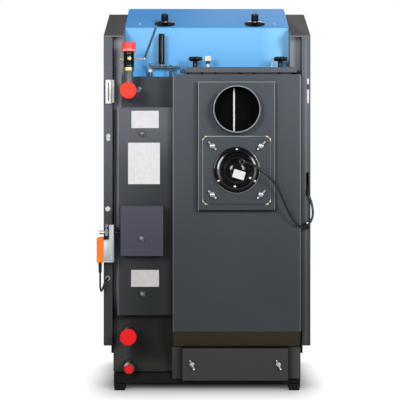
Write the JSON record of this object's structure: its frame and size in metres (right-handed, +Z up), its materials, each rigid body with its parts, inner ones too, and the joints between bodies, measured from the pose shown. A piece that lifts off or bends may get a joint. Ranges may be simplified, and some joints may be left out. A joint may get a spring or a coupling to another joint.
{
  "type": "wood gasification boiler",
  "caption": "Free-standing wood gasification boiler with side jackets, sloping hood, rear flue with fan, air damper drive and capped water pipes.",
  "frame": {"origin": "floor level under the middle of the boiler's overall width and depth", "axes": "+Z up, -Y towards the rear with the flue and the pipes, +Y towards the loading doors, +X to the right seen from the rear"},
  "size_m": [0.7058, 0.9801, 1.304],
  "materials": {
    "anthracite": "satin powder coat",
    "blue": "smooth gloss powder coat",
    "dark_steel": "matt paint on welded steel",
    "brown_grey": "satin powder coat",
    "sill_brown": "matt paint",
    "black_paint": "matt black paint",
    "purple_grey": "satin powder coat",
    "bare_steel": "plain rolled steel",
    "zinc": "zinc plated",
    "silver": "satin die casting",
    "brass": "turned",
    "pipe_steel": "dull black pipe",
    "red_plastic": "soft satin",
    "orange_plastic": "satin",
    "black_plastic": "satin",
    "gloss_black": "polished",
    "white_plastic": "smooth",
    "cable_rubber": "matt sheath",
    "seal_cord": "dark glass-fibre seal",
    "gasket_board": "pressed fibre gasket"
  },
  "bodies": {
    "boiler": {"plinth": "black_paint", "feet": "black_plastic", "boiler_body": "dark_steel", "left_jacket": "anthracite", "right_jacket": "anthracite", "jacket_brackets": "black_paint", "left_top_cover": "brown_grey", "right_top_cover": "brown_grey", "hood": "blue", "hood_knobs": "black_plastic", "exchanger_housing": "anthracite", "exchanger_sill": "sill_brown", "ash_duct": "dark_steel", "ash_cover": "dark_steel", "cleaning_cover": "anthracite", "cover_seal": "seal_cord", "star_knobs": "black_plastic", "cover_sensor": "white_plastic", "flue_plate": "anthracite", "flue_pipe": "bare_steel", "flue_baffle": "bare_steel", "fan_gasket": "gasket_board", "fan_plate": "anthracite", "fan_motor": "gloss_black", "wing_nuts": "zinc", "air_duct_cover": "anthracite", "air_box": "purple_grey", "actuator_case": "silver", "actuator_cover": "orange_plastic", "actuator_gland": "black_plastic", "flow_pipe": "pipe_steel", "return_pipe": "pipe_steel", "drain_socket": "pipe_steel", "pipe_caps": "red_plastic", "regulator_nut": "brass", "regulator_body": "black_plastic", "pivot_screw": "brass", "lever_post": "bare_steel", "capped_stub": "white_plastic", "edge_connectors": "white_plastic", "flange_plugs": "white_plastic", "cable_grommet": "black_plastic", "cable_clip": "black_plastic", "fan_cable": "cable_rubber", "actuator_cable": "cable_rubber", "front_panel": "anthracite", "loading_door": "black_paint", "ash_door": "black_paint", "door_hinges": "black_paint", "door_handles": "black_plastic"},
    "cleaning_handle": {"cleaning_lever": "bare_steel", "lever_grip": "black_plastic"},
    "draught_lever": {"regulator_lever": "brass"},
    "regulator_dial": {"regulator_knob": "red_plastic"},
    "damper": {"damper_shaft": "zinc"}
  },
  "joints": [
    {"name": "cleaning_lever_tilt", "type": "hinge", "parent": "boiler", "child": "cleaning_handle", "pos_m": [-0.122, -0.318, 1.068], "axis": [1, 0, 0], "range_deg": [0, 25]},
    {"name": "draught_lever_tilt", "type": "hinge", "parent": "boiler", "child": "draught_lever", "pos_m": [-0.25, -0.418, 1.083], "axis": [0, 1, 0], "range_deg": [-10, 10]},
    {"name": "regulator_dial_turn", "type": "hinge", "parent": "boiler", "child": "regulator_dial", "pos_m": [-0.254, -0.418, 1.122], "axis": [0, 0, 1], "range_deg": [-135, 135]},
    {"name": "damper_turn", "type": "hinge", "parent": "boiler", "child": "damper", "pos_m": [-0.3255, -0.418, 0.521], "axis": [1, 0, 0], "range_deg": [0, 90]}
  ]
}
